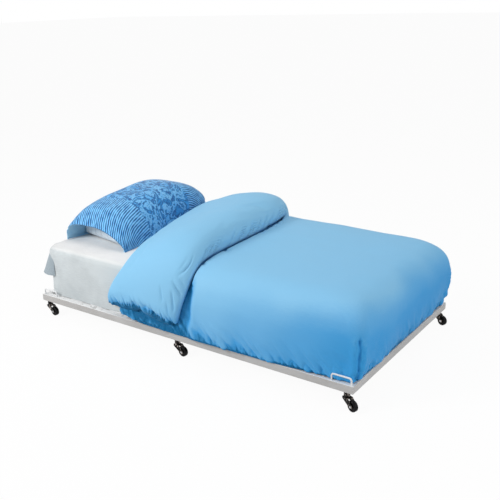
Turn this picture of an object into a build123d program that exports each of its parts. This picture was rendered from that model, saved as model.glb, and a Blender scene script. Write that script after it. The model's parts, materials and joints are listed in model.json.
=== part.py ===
from build123d import *
import os
from math import cos, pi, radians, sin

os.makedirs("parts", exist_ok=True)

# Millimetres. +X runs to the foot of the bed, -Y is the near side, the floor is at Z = 0.

# Casters
WHEEL_D = 50.8
WHEEL_W = 20.0
TREAD_R = 5.0
DISH_OUT = 0.74  # of the wheel's diameter
DISH_IN = 0.34
DISH_DEPTH = 3.0
HUB_D = 14.0
HUB_PROUD = 1.5  # past each face of the wheel
HUB_GAP = 0.4  # between the hub and each fork leg
TRAIL = 36.0  # from the swivel axis to the axle
SWIVEL_REST = {"head": -5.0, "mid": -5.0, "foot": -20.0}  # degrees, the way the wheels trail at rest
AXLE_D = 6.0
AXLE_HEAD_D = 10.0
AXLE_HEAD_T = 1.5
RUN_CLEAR = 0.05  # radial, on every pin that something turns on
FIT_CLEAR = 0.1  # radial, on every pin that stays still
LEG_T = 2.5
LEG_FOOT_R = 9.0
LEG_TOP_H = 9.0
BRIDGE_T = 3.0
BRIDGE_GAP = 2.7  # between the wheel's top and the bridge
BRIDGE_BACK = 20.0  # behind the swivel axis
RACE_D = 28.0
RACE_H = 22.5
RACE_R = 6.0
SWIVEL_GAP = 0.5
COLLAR_D = 18.0
COLLAR_T = 2.5
STEM_D = 9.5
STEM_SHORT = 2.0  # of the rail's flange
JOURNAL_D = 8.0
PIN_HEAD_D = 12.0
PIN_HEAD_T = 2.5
PIN_HEAD_R = 1.2
SOCKET_D = 16.0
WEB_T = 8.0

# Steel angle frame
FRAME_L = 1930.0
FRAME_W = 1040.0
ANGLE_LEG = 35.0
ANGLE_T = 3.0
EDGE_R = 2.0
CASTER_INSET = 17.5  # from a side rail's outer face
CASTER_END = 36.0  # from the frame's end

# Deck slats
SLAT_COUNT = 12
SLAT_W = 40.0
SLAT_DEPTH = 12.0
SLAT_T = 1.5
SLAT_END = 150.0  # from the frame's end to the first slat's middle
SLAT_GAP = 1.0
TAB_W = 30.0
TAB_T = 2.0
TAB_SHORT = 5.0  # of the rail's upright leg
RIVET_D = 5.0
RIVET_HEAD_D = 9.0
RIVET_HEAD_H = 2.0
RIVET_FOOT_D = 8.0
RIVET_FOOT_H = 1.5

# Mattress retainer loops
ROD_D = 8.0
ROD_INSET = 11.0
ROD_BEND = 11.0
LOOP_END = 13.0  # from the frame's end to the outer leg
LOOP_W = 94.0
LOOP_H = 34.0  # above the rail
NUT_AF = 13.0
NUT_H = 6.5
ROD_TAIL = 3.0

# Mattress and bottom sheet
SIDE_MARGIN = 36.0
END_MARGIN = 17.0
MATTRESS_H = 274.0
DRAWN_IN = 3.0  # of each side between its corners
SHEET_GAP = 1.2
SHEET_T = 2.0
SHEET_HEM = 3.0  # above the rail
FLAP_TOP = 240.0  # above the deck
FLAP_HEM = 110.0
FLAP_T = 4.0
FLAP_ROOT = 14.0
FLAP_SHORT = 12.0  # of the mattress's side

# Duvet
DUVET_GAP = 3.0  # from the sheet and from the retainer loops
DUVET_HEM = RIVET_HEAD_H + 2.5  # above the rail
DUVET_HEAD_NEAR = 598.0  # from the mattress's head end
DUVET_HEAD_FAR = 468.0
BAND_HEM = 60.0  # above the deck

# Pillow and pillowcase
PILLOW_LIFT = 1.0  # above the sheet
CASE_T = 2.0
CASE_GAP = 1.0
MOUTH_INSET = 6.0  # from the case's mouth to the pillow's end
BACK_POWER = 0.5  # squareness of the back; less is squarer
FRONT_INSET = 2.5  # how much more the inner form is drawn in at the tapered front

# Mattress: height above the deck, inset from the full size, corner radius. It draws in at mid height.
MATTRESS_FORM = [
    (0.0, 16.0, 62.0),
    (4.0, 8.0, 66.0),
    (12.0, 3.0, 70.0),
    (36.0, 0.0, 72.0),
    (MATTRESS_H * 0.5, 4.0, 70.0),
    (MATTRESS_H - 46.0, 0.5, 72.0),
    (MATTRESS_H - 24.0, 4.0, 70.0),
    (MATTRESS_H - 12.0, 12.0, 66.0),
    (MATTRESS_H - 5.0, 28.0, 62.0),
    (MATTRESS_H - 1.5, 90.0, 60.0),
    (MATTRESS_H, 190.0, 60.0),
]

# Loose end of the sheet at the head: place across the bed as a share of its half width, flare of its hem.
FLAP_FOLDS = [
    (-1.0, 30.0),
    (-0.86, 44.0),
    (-0.62, 26.0),
    (-0.36, 40.0),
    (-0.1, 24.0),
    (0.18, 38.0),
    (0.46, 24.0),
    (0.74, 40.0),
    (0.97, 30.0),
]
FLAP_TURN_FROM = 0.86  # past this share the flap follows the mattress's corner
FLAP_TURN = 62.0

# Duvet's lower layer: height above its hem, how far it stands past the mattress at the foot and at the
# sides, corner radius, how far the foot and the sides bow out.
DUVET_FORM = [
    (0.0, 14.0, 8.0, 34.0, 4.0, 50.0),
    (58.0, 34.0, 14.0, 44.0, 8.0, 52.0),
    (128.0, 48.0, 26.0, 58.0, 8.0, 44.0),
    (198.0, 50.0, 30.0, 66.0, 8.0, 38.0),
    (248.0, 42.0, 25.0, 70.0, 8.0, 32.0),
    (286.0, 26.0, 14.0, 76.0, 7.0, 26.0),
    (318.0, -4.0, -8.0, 80.0, 6.0, 20.0),
    (344.0, -54.0, -42.0, 84.0, 5.0, 14.0),
    (359.0, -140.0, -94.0, 88.0, 4.0, 10.0),
    (365.0, -300.0, -210.0, 90.0, 2.0, 5.0),
]

# Turned-back band, from the near hem over the bed to the far hem: place across the bed as a share of the
# mattress's half width, height above the deck, lean of the section from upright, head edge and front edge
# from the mattress's head end, thickness at the head edge and at the front roll.
BAND_FORM = [
    (-1.037, BAND_HEM, -90.0, 510.0, 988.0, 30.0, 56.0),
    (-1.029, 105.0, -90.0, 512.0, 1004.0, 44.0, 72.0),
    (-1.017, 170.0, -87.0, 543.0, 1032.0, 50.0, 80.0),
    (-0.988, 240.0, -68.0, 598.0, 1062.0, 56.0, 98.0),
    (-0.9, 300.0, -36.0, 644.0, 1074.0, 64.0, 128.0),
    (-0.69, 316.0, -12.0, 636.0, 1064.0, 70.0, 154.0),
    (-0.35, 320.0, -3.0, 586.0, 1060.0, 72.0, 164.0),
    (0.0, 320.0, 0.0, 536.0, 1056.0, 72.0, 168.0),
    (0.35, 320.0, 3.0, 494.0, 1046.0, 72.0, 170.0),
    (0.69, 316.0, 12.0, 460.0, 1022.0, 70.0, 174.0),
    (0.9, 300.0, 36.0, 444.0, 968.0, 64.0, 150.0),
    (0.988, 240.0, 68.0, 430.0, 944.0, 56.0, 108.0),
    (1.017, 170.0, 87.0, 418.0, 932.0, 50.0, 80.0),
    (1.029, 105.0, 90.0, 410.0, 924.0, 44.0, 72.0),
    (1.037, BAND_HEM, 90.0, 406.0, 918.0, 30.0, 56.0),
]

# Pillow: place across the bed, back edge and front edge from the mattress's head end, height, squareness
# of its front (less is squarer).
PILLOW_FORM = [
    (-345.0, 32.0, 478.0, 105.0, 1.3),
    (-300.0, 32.0, 476.0, 146.0, 1.1),
    (-230.0, 34.0, 472.0, 186.0, 1.0),
    (-110.0, 38.0, 466.0, 214.0, 0.9),
    (0.0, 40.0, 458.0, 227.0, 0.85),
    (120.0, 40.0, 448.0, 236.0, 0.75),
    (220.0, 40.0, 436.0, 236.0, 0.65),
    (310.0, 44.0, 426.0, 221.0, 0.55),
    (385.0, 52.0, 416.0, 190.0, 0.48),
    (435.0, 68.0, 408.0, 146.0, 0.44),
]

AXLE_Z = WHEEL_D / 2
BRIDGE_Z = WHEEL_D + BRIDGE_GAP
RACE_Z = BRIDGE_Z + BRIDGE_T
COLLAR_Z = RACE_Z + RACE_H + SWIVEL_GAP
RAIL_BOTTOM = COLLAR_Z + COLLAR_T
RAIL_TOP = RAIL_BOTTOM + ANGLE_LEG
FLANGE_Z = RAIL_TOP - ANGLE_T
HALF_L = FRAME_L / 2
HALF_W = FRAME_W / 2
INNER_W = HALF_W - ANGLE_LEG
MATTRESS_HX = HALF_L - END_MARGIN
MATTRESS_HY = HALF_W - SIDE_MARGIN
HEAD_END = -MATTRESS_HX
SHEET_OUT = SHEET_GAP + SHEET_T
BED_TOP = RAIL_TOP + MATTRESS_H + SHEET_OUT
PAST = 1.0  # how far a cutting tool runs past what it cuts

nodes = {}


def block(x0, x1, y0, y1, z0, z1):
    size = (x1 - x0, y1 - y0, z1 - z0)
    middle = ((x0 + x1) / 2, (y0 + y1) / 2, (z0 + z1) / 2)
    return Pos(*middle) * Box(*size)


def post(x, y, z0, z1, diameter):
    return Pos(x, y, (z0 + z1) / 2) * Cylinder(diameter / 2, z1 - z0)


def bar(y0, y1, diameter):
    """A bar across the wheel, on the axle's line."""
    return Pos(TRAIL, (y0 + y1) / 2, AXLE_Z) * Rot(90, 0, 0) * Cylinder(diameter / 2, y1 - y0)


def fuse(first, *others):
    whole = first
    for other in others:
        whole = whole + other
    return whole


def angle_section(plane, outer):
    """An L of steel angle: the upright leg at outer, the flange along the top towards the middle."""
    inward = -1 if outer > 0 else 1
    points = [
        (outer, RAIL_BOTTOM),
        (outer, RAIL_TOP),
        (outer + inward * ANGLE_LEG, RAIL_TOP),
        (outer + inward * ANGLE_LEG, FLANGE_Z),
        (outer + inward * ANGLE_T, FLANGE_Z),
        (outer + inward * ANGLE_T, RAIL_BOTTOM),
    ]
    with BuildSketch(plane) as sketch:
        with BuildLine():
            Polyline(*points, close=True)
        make_face()
        fillet(sketch.vertices().sort_by_distance((outer, RAIL_TOP, 0))[0], EDGE_R)
    return sketch.sketch


# Frame and deck
slat_step = (FRAME_L - 2 * SLAT_END) / (SLAT_COUNT - 1)
slat_x = [-HALF_L + SLAT_END + i * slat_step for i in range(SLAT_COUNT)]
loop_outer = HALF_L - LOOP_END
loop_inner = loop_outer - LOOP_W
loop_leg_x = [end * x for end in (-1, 1) for x in (loop_inner, loop_outer)]
rivet_y = HALF_W - SIDE_MARGIN / 2
rod_y = HALF_W - ROD_INSET
rivet_hole = RIVET_D + 2 * FIT_CLEAR
rod_hole = ROD_D + 2 * FIT_CLEAR

for side, name in ((-1, "near"), (1, "far")):
    rail = extrude(angle_section(Plane.YZ, side * HALF_W), HALF_L, both=True)
    for x in slat_x:
        rail -= post(x, side * rivet_y, FLANGE_Z - PAST, RAIL_TOP + PAST, rivet_hole)
    for x in loop_leg_x:
        rail -= post(x, side * rod_y, FLANGE_Z - PAST, RAIL_TOP + PAST, rod_hole)
    nodes[f"{name}_side_rail"] = rail

for end, name in ((-1, "head"), (1, "foot")):
    rail = extrude(angle_section(Plane.XZ, end * HALF_L), INNER_W, both=True)
    x0, x1 = sorted((end * HALF_L, end * (HALF_L - ANGLE_T)))
    leg_y = HALF_W - ANGLE_T
    nodes[f"{name}_rail"] = rail + block(x0, x1, -leg_y, leg_y, RAIL_BOTTOM, FLANGE_Z)

slat_half = INNER_W - SLAT_GAP
tab_low = FLANGE_Z - TAB_T
for i, x in enumerate(slat_x):
    x0, x1 = x - SLAT_W / 2, x + SLAT_W / 2
    low = RAIL_TOP - SLAT_DEPTH
    hollow = slat_half - TAB_T
    slat = block(x0, x1, -slat_half, slat_half, low, RAIL_TOP)
    slat -= block(x0 + SLAT_T, x1 - SLAT_T, -hollow, hollow, low - PAST, RAIL_TOP - SLAT_T)
    for side in (-1, 1):
        y0, y1 = sorted((side * hollow, side * (HALF_W - ANGLE_T - TAB_SHORT)))
        slat += block(x - TAB_W / 2, x + TAB_W / 2, y0, y1, tab_low, FLANGE_Z)
        slat -= post(x, side * rivet_y, tab_low - PAST, FLANGE_Z + PAST, rivet_hole)
    nodes[f"deck_slat_{i + 1:02d}"] = slat


def rivet(x, y):
    head = post(x, y, RAIL_TOP, RAIL_TOP + RIVET_HEAD_H, RIVET_HEAD_D)
    head = fillet(head.edges().group_by(Axis.Z)[-1], RIVET_HEAD_H * 0.7)
    foot = post(x, y, tab_low - RIVET_FOOT_H, tab_low, RIVET_FOOT_D)
    return fuse(head, post(x, y, tab_low, RAIL_TOP, RIVET_D), foot)


nodes["slat_rivets"] = Compound([rivet(x, s * rivet_y) for x in slat_x for s in (-1, 1)])


def retainer(x0, x1, y):
    low = FLANGE_Z - NUT_H - ROD_TAIL
    high = RAIL_TOP + LOOP_H - ROD_D / 2
    corners = [(x0, y, low), (x0, y, high), (x1, y, high), (x1, y, low)]
    path = FilletPolyline(*corners, radius=ROD_BEND)
    section = Plane(origin=corners[0], z_dir=(0, 0, 1)) * Circle(ROD_D / 2)
    return sweep(section, path=path)


def nut(x, y):
    hexagon = RegularPolygon(NUT_AF / 2, 6, major_radius=False, rotation=30)
    body = extrude(Plane.XY.offset(FLANGE_Z - NUT_H) * Pos(x, y) * hexagon, NUT_H)
    return body - post(x, y, FLANGE_Z - NUT_H - PAST, FLANGE_Z + PAST, rod_hole)


nuts = []
for end, end_name in ((-1, "head"), (1, "foot")):
    for side, side_name in ((-1, "near"), (1, "far")):
        x0, x1 = sorted((end * loop_inner, end * loop_outer))
        nodes[f"retainer_{end_name}_{side_name}"] = retainer(x0, x1, side * rod_y)
        nuts += [nut(x, side * rod_y) for x in (x0, x1)]
nodes["retainer_nuts"] = Compound(nuts)


# Casters: the fork, axle and wheel are made about the swivel axis, trailing along +X.
hub_half = WHEEL_W / 2 + HUB_PROUD
leg_in = hub_half + HUB_GAP
leg_out = leg_in + LEG_T


def socket(x, y, side):
    tube = post(x, y, RAIL_BOTTOM, FLANGE_Z, SOCKET_D)
    y0, y1 = sorted((y, side * (HALF_W - ANGLE_T)))
    web = block(x - WEB_T / 2, x + WEB_T / 2, y0, y1, RAIL_BOTTOM + ANGLE_T, FLANGE_Z)
    bore = post(x, y, RAIL_BOTTOM - PAST, FLANGE_Z + PAST, STEM_D + 2 * FIT_CLEAR)
    return fuse(tube, web) - bore


def stem(x, y):
    head_top = BRIDGE_Z - SWIVEL_GAP
    head = post(x, y, head_top - PIN_HEAD_T, head_top, PIN_HEAD_D)
    head = fillet(head.edges().group_by(Axis.Z)[0], PIN_HEAD_R)
    journal = post(x, y, head_top, COLLAR_Z, JOURNAL_D)
    collar = post(x, y, COLLAR_Z, RAIL_BOTTOM, COLLAR_D)
    top = post(x, y, RAIL_BOTTOM, FLANGE_Z - STEM_SHORT, STEM_D)
    return fuse(head, journal, collar, top)


def fork():
    race = post(0, 0, RACE_Z, RACE_Z + RACE_H, RACE_D)
    race = fillet(race.edges().group_by(Axis.Z)[-1], RACE_R)
    front = -RACE_D / 2
    bridge = block(front, BRIDGE_BACK, -leg_out, leg_out, BRIDGE_Z, RACE_Z)
    with BuildSketch() as outline:
        with Locations((TRAIL, AXLE_Z)):
            Circle(LEG_FOOT_R)
        with Locations(((front + BRIDGE_BACK) / 2, RACE_Z - LEG_TOP_H / 2)):
            Rectangle(BRIDGE_BACK - front, LEG_TOP_H)
        make_hull()
    legs = []
    for y in (-leg_in, leg_out):
        legs.append(extrude(Plane.XZ.offset(-y) * outline.sketch, LEG_T))
    pin_hole = post(0, 0, BRIDGE_Z - PAST, RACE_Z + RACE_H + PAST, JOURNAL_D + 2 * RUN_CLEAR)
    axle_hole = bar(-leg_out - PAST, leg_out + PAST, AXLE_D + 2 * FIT_CLEAR)
    return fuse(race, bridge, *legs) - pin_hole - axle_hole


def axle():
    heads = [bar(leg_out, leg_out + AXLE_HEAD_T, AXLE_HEAD_D)]
    heads.append(bar(-leg_out - AXLE_HEAD_T, -leg_out, AXLE_HEAD_D))
    return fuse(bar(-leg_out, leg_out, AXLE_D), *heads)


def wheel():
    half = WHEEL_W / 2
    tread = bar(-half, half, WHEEL_D)
    tread = fillet(tread.edges().filter_by(GeomType.CIRCLE), TREAD_R)
    for side in (-1, 1):
        y0, y1 = sorted((side * (half - DISH_DEPTH), side * (half + PAST)))
        tread -= bar(y0, y1, WHEEL_D * DISH_OUT) - bar(y0, y1, WHEEL_D * DISH_IN)
    hub = bar(-hub_half, hub_half, HUB_D)
    return tread + hub - bar(-hub_half - PAST, hub_half + PAST, AXLE_D + 2 * RUN_CLEAR)


caster_x = {"head": -HALF_L + CASTER_END, "mid": 0.0, "foot": HALF_L - CASTER_END}
turning = {"fork": fork(), "axle": axle(), "wheel": wheel()}
for side, side_name in ((-1, "near"), (1, "far")):
    y = side * (HALF_W - CASTER_INSET)
    for place, x in caster_x.items():
        tag = f"{place}_{side_name}"
        nodes[f"caster_socket_{tag}"] = socket(x, y, side)
        nodes[f"caster_stem_{tag}"] = stem(x, y)
        for piece, shape in turning.items():
            nodes[f"caster_{piece}_{tag}"] = Pos(x, y, 0) * Rot(0, 0, SWIVEL_REST[place]) * shape


def finer(rows):
    """The same rows with one more between each two, on a smooth curve through them."""
    out = [rows[0]]
    last = len(rows) - 1
    for i in range(last):
        four = [rows[max(i - 1, 0)], rows[i], rows[i + 1], rows[min(i + 2, last)]]
        out.append(tuple((9 * (b + c) - a - d) / 16 for a, b, c, d in zip(*four)))
        out.append(rows[i + 1])
    return out


def skin(outlines):
    return Solid.make_loft(outlines, ruled=True)


def side_edge(start, end, bow):
    """One side of a plan outline, bowed outwards by bow."""
    along = (end - start).normalized()
    middle = (start + end) * 0.5 + Vector(along.Y, -along.X, 0) * bow
    return Edge.make_three_point_arc(start, middle, end)


def plan(hx, hy, r, bow_x, bow_y, z):
    """A rounded rectangle, its end sides bowed out by bow_x and its long sides by bow_y."""
    k = r * (1 - cos(pi / 4))
    corners = []
    for cx, cy in ((1, -1), (1, 1), (-1, 1), (-1, -1)):
        on_end = Vector(cx * hx, cy * (hy - r), z)
        on_side = Vector(cx * (hx - r), cy * hy, z)
        middle = Vector(cx * (hx - k), cy * (hy - k), z)
        first, second = (on_side, on_end) if cx * cy < 0 else (on_end, on_side)
        corners.append((first, middle, second))
    edges = []
    for i, bow in enumerate((bow_x, bow_y, bow_x, bow_y)):
        edges.append(Edge.make_three_point_arc(*corners[i]))
        edges.append(side_edge(corners[i][2], corners[(i + 1) % 4][0], bow))
    return Wire(edges)


def mattress_form(grow):
    outlines = []
    for height, inset, r in MATTRESS_FORM:
        rise = grow if height > MATTRESS_H / 2 else 0.0
        hx, hy = MATTRESS_HX - inset + grow, MATTRESS_HY - inset + grow
        outlines.append(plan(hx, hy, r + grow, -DRAWN_IN, -DRAWN_IN, RAIL_TOP + height + rise))
    return skin(outlines)


nodes["mattress"] = mattress_form(0.0)


def flap_section(share, flare):
    y = share * (MATTRESS_HY - FLAP_SHORT)
    face = HEAD_END - SHEET_OUT
    turn = FLAP_TURN * max(abs(share) - FLAP_TURN_FROM, 0.0) / (1 - FLAP_TURN_FROM)
    top, hem = RAIL_TOP + FLAP_TOP, RAIL_TOP + FLAP_HEM
    inner = [(face + 2 * FLAP_T + turn, top), (face - flare, hem)]
    outer = [(face - flare - FLAP_T, hem), (face + FLAP_T / 2 + turn, top + FLAP_ROOT)]
    points = [Vector(x, y, z) for x, z in inner + outer]
    return Wire([Edge.make_line(points[i], points[(i + 1) % 4]) for i in range(4)])


flap = skin([flap_section(*fold) for fold in finer(FLAP_FOLDS)])
hem_cut = block(-FRAME_L, FRAME_L, -FRAME_W, FRAME_W, 0, RAIL_TOP + SHEET_HEM)
nodes["bottom_sheet"] = mattress_form(SHEET_OUT) + flap - mattress_form(SHEET_GAP) - hem_cut


# Duvet: the lower layer is cut off aslant under the turned-back band.
outlines = []
for height, over_x, over_y, r, bow_x, bow_y in finer(DUVET_FORM):
    z = RAIL_TOP + DUVET_HEM + height
    outlines.append(plan(MATTRESS_HX + over_x, MATTRESS_HY + over_y, r, bow_x, bow_y, z))
head_line = [
    (-FRAME_L, -FRAME_W),
    (HEAD_END + DUVET_HEAD_NEAR, -FRAME_W),
    (HEAD_END + DUVET_HEAD_NEAR, -HALF_W),
    (HEAD_END + DUVET_HEAD_FAR, HALF_W),
    (HEAD_END + DUVET_HEAD_FAR, FRAME_W),
    (-FRAME_L, FRAME_W),
]
with BuildSketch() as head_side:
    with BuildLine():
        Polyline(*head_line, close=True)
    make_face()
lower = skin(outlines) - extrude(head_side.sketch, 2 * BED_TOP)


def band_section(share, height, lean, head, front, t_head, t_roll):
    y, z = share * MATTRESS_HY, RAIL_TOP + height
    out_y, out_z = sin(radians(lean)), cos(radians(lean))
    w = front - head

    def at(along, out):
        x = HEAD_END + head + along * w
        return Vector(x, y + out_y * out, z + out_z * out)

    points = [
        at(0.0, 0),
        at(-0.01, 0.5 * t_head),
        at(0.05, t_head),
        at(0.4, t_head + 0.72 * (t_roll - t_head)),
        at(0.72, t_roll),
        at(0.94, 0.86 * t_roll),
        at(1.0, 0.5 * t_roll),
        at(0.98, 0.2 * t_roll),
        at(0.93, 0),
    ]
    arcs = [Edge.make_three_point_arc(*points[i : i + 3]) for i in (0, 2, 4, 6)]
    return Wire(arcs + [Edge.make_line(points[8], points[0])])


band = skin([band_section(*row) for row in finer(BAND_FORM)])
duvet = lower + band - mattress_form(SHEET_OUT + DUVET_GAP)
loop_room = ROD_D / 2 + DUVET_GAP
for side in (-1, 1):
    y0, y1 = sorted((side * (rod_y - loop_room), side * FRAME_W))
    duvet -= block(loop_inner - loop_room, FRAME_L, y0, y1, 0, RAIL_TOP + LOOP_H + DUVET_GAP)
nodes["duvet"] = duvet


def arch_point(turn, power):
    """A point on a rounded arch of half width 1 and height 1; a smaller power is squarer."""
    reach, rise = cos(turn), sin(turn)
    sign = 1 if reach > 0 else -1
    return -sign * abs(reach) ** power, abs(rise) ** power


def pillow_form(inset, mouth):
    """The pillow's form, inset from the case's outer face, with its near end moved in by mouth."""
    rows = finer(PILLOW_FORM)
    outlines = []
    for i, (y, back, front, height, front_power) in enumerate(rows):
        if i == 0:
            y += mouth
        if i == len(rows) - 1:
            y -= inset
        back += inset
        front -= FRONT_INSET * inset
        points = []
        for step in range(7):
            along, up = arch_point(pi * step / 6, BACK_POWER if step <= 3 else front_power)
            x = HEAD_END + (front + back) / 2 + (front - back) / 2 * along
            z = BED_TOP + PILLOW_LIFT + inset + (height - 2 * inset) * up
            points.append(Vector(x, y, z))
        arcs = [Edge.make_three_point_arc(*points[k : k + 3]) for k in (0, 2, 4)]
        outlines.append(Wire(arcs + [Edge.make_line(points[6], points[0])]))
    return skin(outlines)


nodes["pillowcase"] = pillow_form(0.0, 0.0) - pillow_form(CASE_T, -PAST)
nodes["pillow"] = pillow_form(CASE_T + CASE_GAP, MOUTH_INSET)

for node, shape in nodes.items():
    export_step(shape, f"parts/{node}.step")
    print(node, round(shape.volume), len(shape.solids()), shape.is_valid)
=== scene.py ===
import bmesh
import bpy
import json
from collections import namedtuple
from math import cos, exp, pi, radians, sin
from mathutils import Matrix, Vector, noise


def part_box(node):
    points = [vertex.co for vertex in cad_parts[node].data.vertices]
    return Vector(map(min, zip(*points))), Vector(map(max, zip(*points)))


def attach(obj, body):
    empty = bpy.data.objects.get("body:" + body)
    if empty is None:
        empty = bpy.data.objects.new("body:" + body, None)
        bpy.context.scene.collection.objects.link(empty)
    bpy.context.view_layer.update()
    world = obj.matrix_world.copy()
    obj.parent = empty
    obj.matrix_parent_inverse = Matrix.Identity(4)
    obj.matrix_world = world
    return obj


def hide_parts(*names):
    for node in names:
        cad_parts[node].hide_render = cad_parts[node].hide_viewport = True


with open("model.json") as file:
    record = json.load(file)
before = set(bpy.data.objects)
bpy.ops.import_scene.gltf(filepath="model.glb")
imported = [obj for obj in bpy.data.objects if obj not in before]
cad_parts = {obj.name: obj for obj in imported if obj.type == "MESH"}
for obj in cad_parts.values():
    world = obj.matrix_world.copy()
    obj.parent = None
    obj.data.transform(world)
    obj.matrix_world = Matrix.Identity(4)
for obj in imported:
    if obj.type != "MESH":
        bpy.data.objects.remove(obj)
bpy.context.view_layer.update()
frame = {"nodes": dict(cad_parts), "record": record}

# Metres. +X runs to the foot of the bed, -Y is the near side, the floor is at Z = 0.
MATTRESS_LOW, MATTRESS_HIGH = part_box("mattress")
DECK = MATTRESS_LOW[2]
MATTRESS_TOP = MATTRESS_HIGH[2]
MATTRESS_H = MATTRESS_TOP - DECK
HALF_LONG = MATTRESS_HIGH[0]
HALF_WIDE = MATTRESS_HIGH[1]
HEAD_END = -HALF_LONG
SHEET_OUT = 0.0032  # from the mattress to the sheet
BED_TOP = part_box("bottom_sheet")[1][2]
DUVET_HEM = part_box("duvet")[0][2]
DUVET_CLEAR = 0.004  # least gap between the sheet and the turned-back band


# Curves and meshes


def finer(rows, times=1, closed=False):
    """Rows with one more between each two on a smooth curve through them, so many times over."""
    for _ in range(times):
        count = len(rows)
        denser = []
        for i in range(count if closed else count - 1):
            if closed:
                four = [rows[(i + k) % count] for k in (-1, 0, 1, 2)]
            else:
                four = [rows[min(max(i + k, 0), count - 1)] for k in (-1, 0, 1, 2)]
            denser.append(rows[i])
            denser.append(tuple((9 * (b + c) - a - d) / 16 for a, b, c, d in zip(*four)))
        if not closed:
            denser.append(rows[-1])
        rows = denser
    return rows


def clamp(share):
    """The share itself, or the nearer of 0 and 1 where it lies outside them."""
    return min(max(share, 0.0), 1.0)


def fade(value, start, end):
    """0 at start and 1 at end, smooth in between; start may be the larger."""
    share = clamp((value - start) / (end - start))
    return share * share * (3 - 2 * share)


def bell(offset, width):
    """1 in the middle, falling off smoothly to either side."""
    return exp(-((offset / width) ** 2))


def between(value, places, values):
    """values read off at a value between places, which rise."""
    if value <= places[0]:
        return values[0]
    for i in range(1, len(places)):
        if value <= places[i]:
            share = (value - places[i - 1]) / (places[i] - places[i - 1])
            return values[i - 1] + share * (values[i] - values[i - 1])
    return values[-1]


# Relief in cloth: its depth, the pitch of its waves, the length across them over which they change, and
# a seed.
Wave = namedtuple("Wave", "depth pitch drift seed")
CREASE_WIDTH = 0.22  # as a share of the height of the waves whose middle lines are the creases


def uneven(wave, along, across):
    """Soft waves of many sizes, from -1 to 1."""
    return noise.noise(Vector((along / wave.pitch, across / wave.drift, wave.seed)))


def ripple(wave, along, across=0.0):
    """Soft waves, in and out by up to the wave's depth."""
    return wave.depth * uneven(wave, along, across)


def crease(wave, along, across=0.0, power=1):
    """Thin lines about a pitch apart, up to the wave's depth, and nothing between them."""
    return wave.depth * max(0.0, 1.0 - abs(uneven(wave, along, across)) / CREASE_WIDTH) ** power


def stuffing(point, lumps):
    """Soft lumps in and out, from rows of depth, size and seed."""
    total = 0.0
    for depth, size, seed in lumps:
        total += depth * noise.noise(Vector(point) / size + Vector((seed, seed, seed)))
    return total


def piece_from_rows(name, rows, around=False):
    """A mesh whose rows of points are joined into quads; around joins each row's end to its start."""
    width = len(rows[0])
    points = [point for row in rows for point in row]
    faces = []
    for i in range(len(rows) - 1):
        for j in range(width if around else width - 1):
            k = (j + 1) % width
            faces.append((i * width + j, i * width + k, (i + 1) * width + k, (i + 1) * width + j))
    mesh = bpy.data.meshes.new(name)
    mesh.from_pydata(points, [], faces)
    mesh.shade_smooth()
    piece = bpy.data.objects.new(name, mesh)
    bpy.context.scene.collection.objects.link(piece)
    return piece


def closing_rows(section, steps, way):
    """Rows that close a section, from steps of scale about its middle and share of the way moved."""
    middle = sum(section, Vector()) / len(section)
    rows = []
    for scale, share in steps:
        rows.append([middle + (point - middle) * scale + way * share for point in section])
    return rows


def tidy(piece, joined=0.0002):
    """Joins points that lie together and turns every face outwards."""
    work = bmesh.new()
    work.from_mesh(piece.data)
    bmesh.ops.remove_doubles(work, verts=work.verts, dist=joined)
    bmesh.ops.recalc_face_normals(work, faces=work.faces)
    work.to_mesh(piece.data)
    work.free()


def push(piece, relief):
    """Moves each point along its normal by relief(point, normal) and keeps that as the attribute fold."""
    points = [vertex.co.copy() for vertex in piece.data.vertices]
    normals = [vertex.normal.copy() for vertex in piece.data.vertices]
    fold = piece.data.attributes.new("fold", "FLOAT", "POINT")
    for i, vertex in enumerate(piece.data.vertices):
        step = relief(points[i], normals[i])
        vertex.co = points[i] + normals[i] * step
        fold.data[i].value = step
    piece.data.update()


def shade(piece, depth_at):
    """Takes depth_at(point) off the attribute fold, so that the cloth is painted darker there, as painted
    shade.
    """
    fold = piece.data.attributes["fold"]
    for i, vertex in enumerate(piece.data.vertices):
        fold.data[i].value -= depth_at(vertex.co)


def puff(piece, pressure, cap, frames=12):
    """Fills the piece like stuffed cloth with Blender's cloth, no point moving further than cap."""
    start = [vertex.co.copy() for vertex in piece.data.vertices]
    cloth = piece.modifiers.new("stuffing", "CLOTH")
    settings = cloth.settings
    settings.quality = 5
    settings.mass = 0.3
    settings.tension_stiffness = 12.0
    settings.compression_stiffness = 12.0
    settings.shear_stiffness = 6.0
    settings.bending_stiffness = 0.3
    settings.use_pressure = True
    settings.uniform_pressure_force = pressure
    settings.effector_weights.gravity = 0.0
    cloth.point_cache.frame_start = 1
    cloth.point_cache.frame_end = frames
    scene = bpy.context.scene
    for step in range(1, frames + 1):
        scene.frame_set(step)
    puffed = piece.evaluated_get(bpy.context.evaluated_depsgraph_get())
    moved = [vertex.co.copy() for vertex in puffed.data.vertices]
    piece.modifiers.remove(cloth)
    scene.frame_set(1)
    for vertex, old, new in zip(piece.data.vertices, start, moved):
        step = new - old
        if step.length > cap:
            step = step * (cap / step.length)
        vertex.co = old + step
    piece.data.update()


def make_finer(piece):
    """Subdivides the piece once into a smooth surface."""
    smooth = piece.modifiers.new("finer", "SUBSURF")
    smooth.levels = 1
    made = piece.evaluated_get(bpy.context.evaluated_depsgraph_get())
    mesh = bpy.data.meshes.new_from_object(made)
    piece.modifiers.clear()
    piece.data = mesh
    mesh.shade_smooth()


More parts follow.
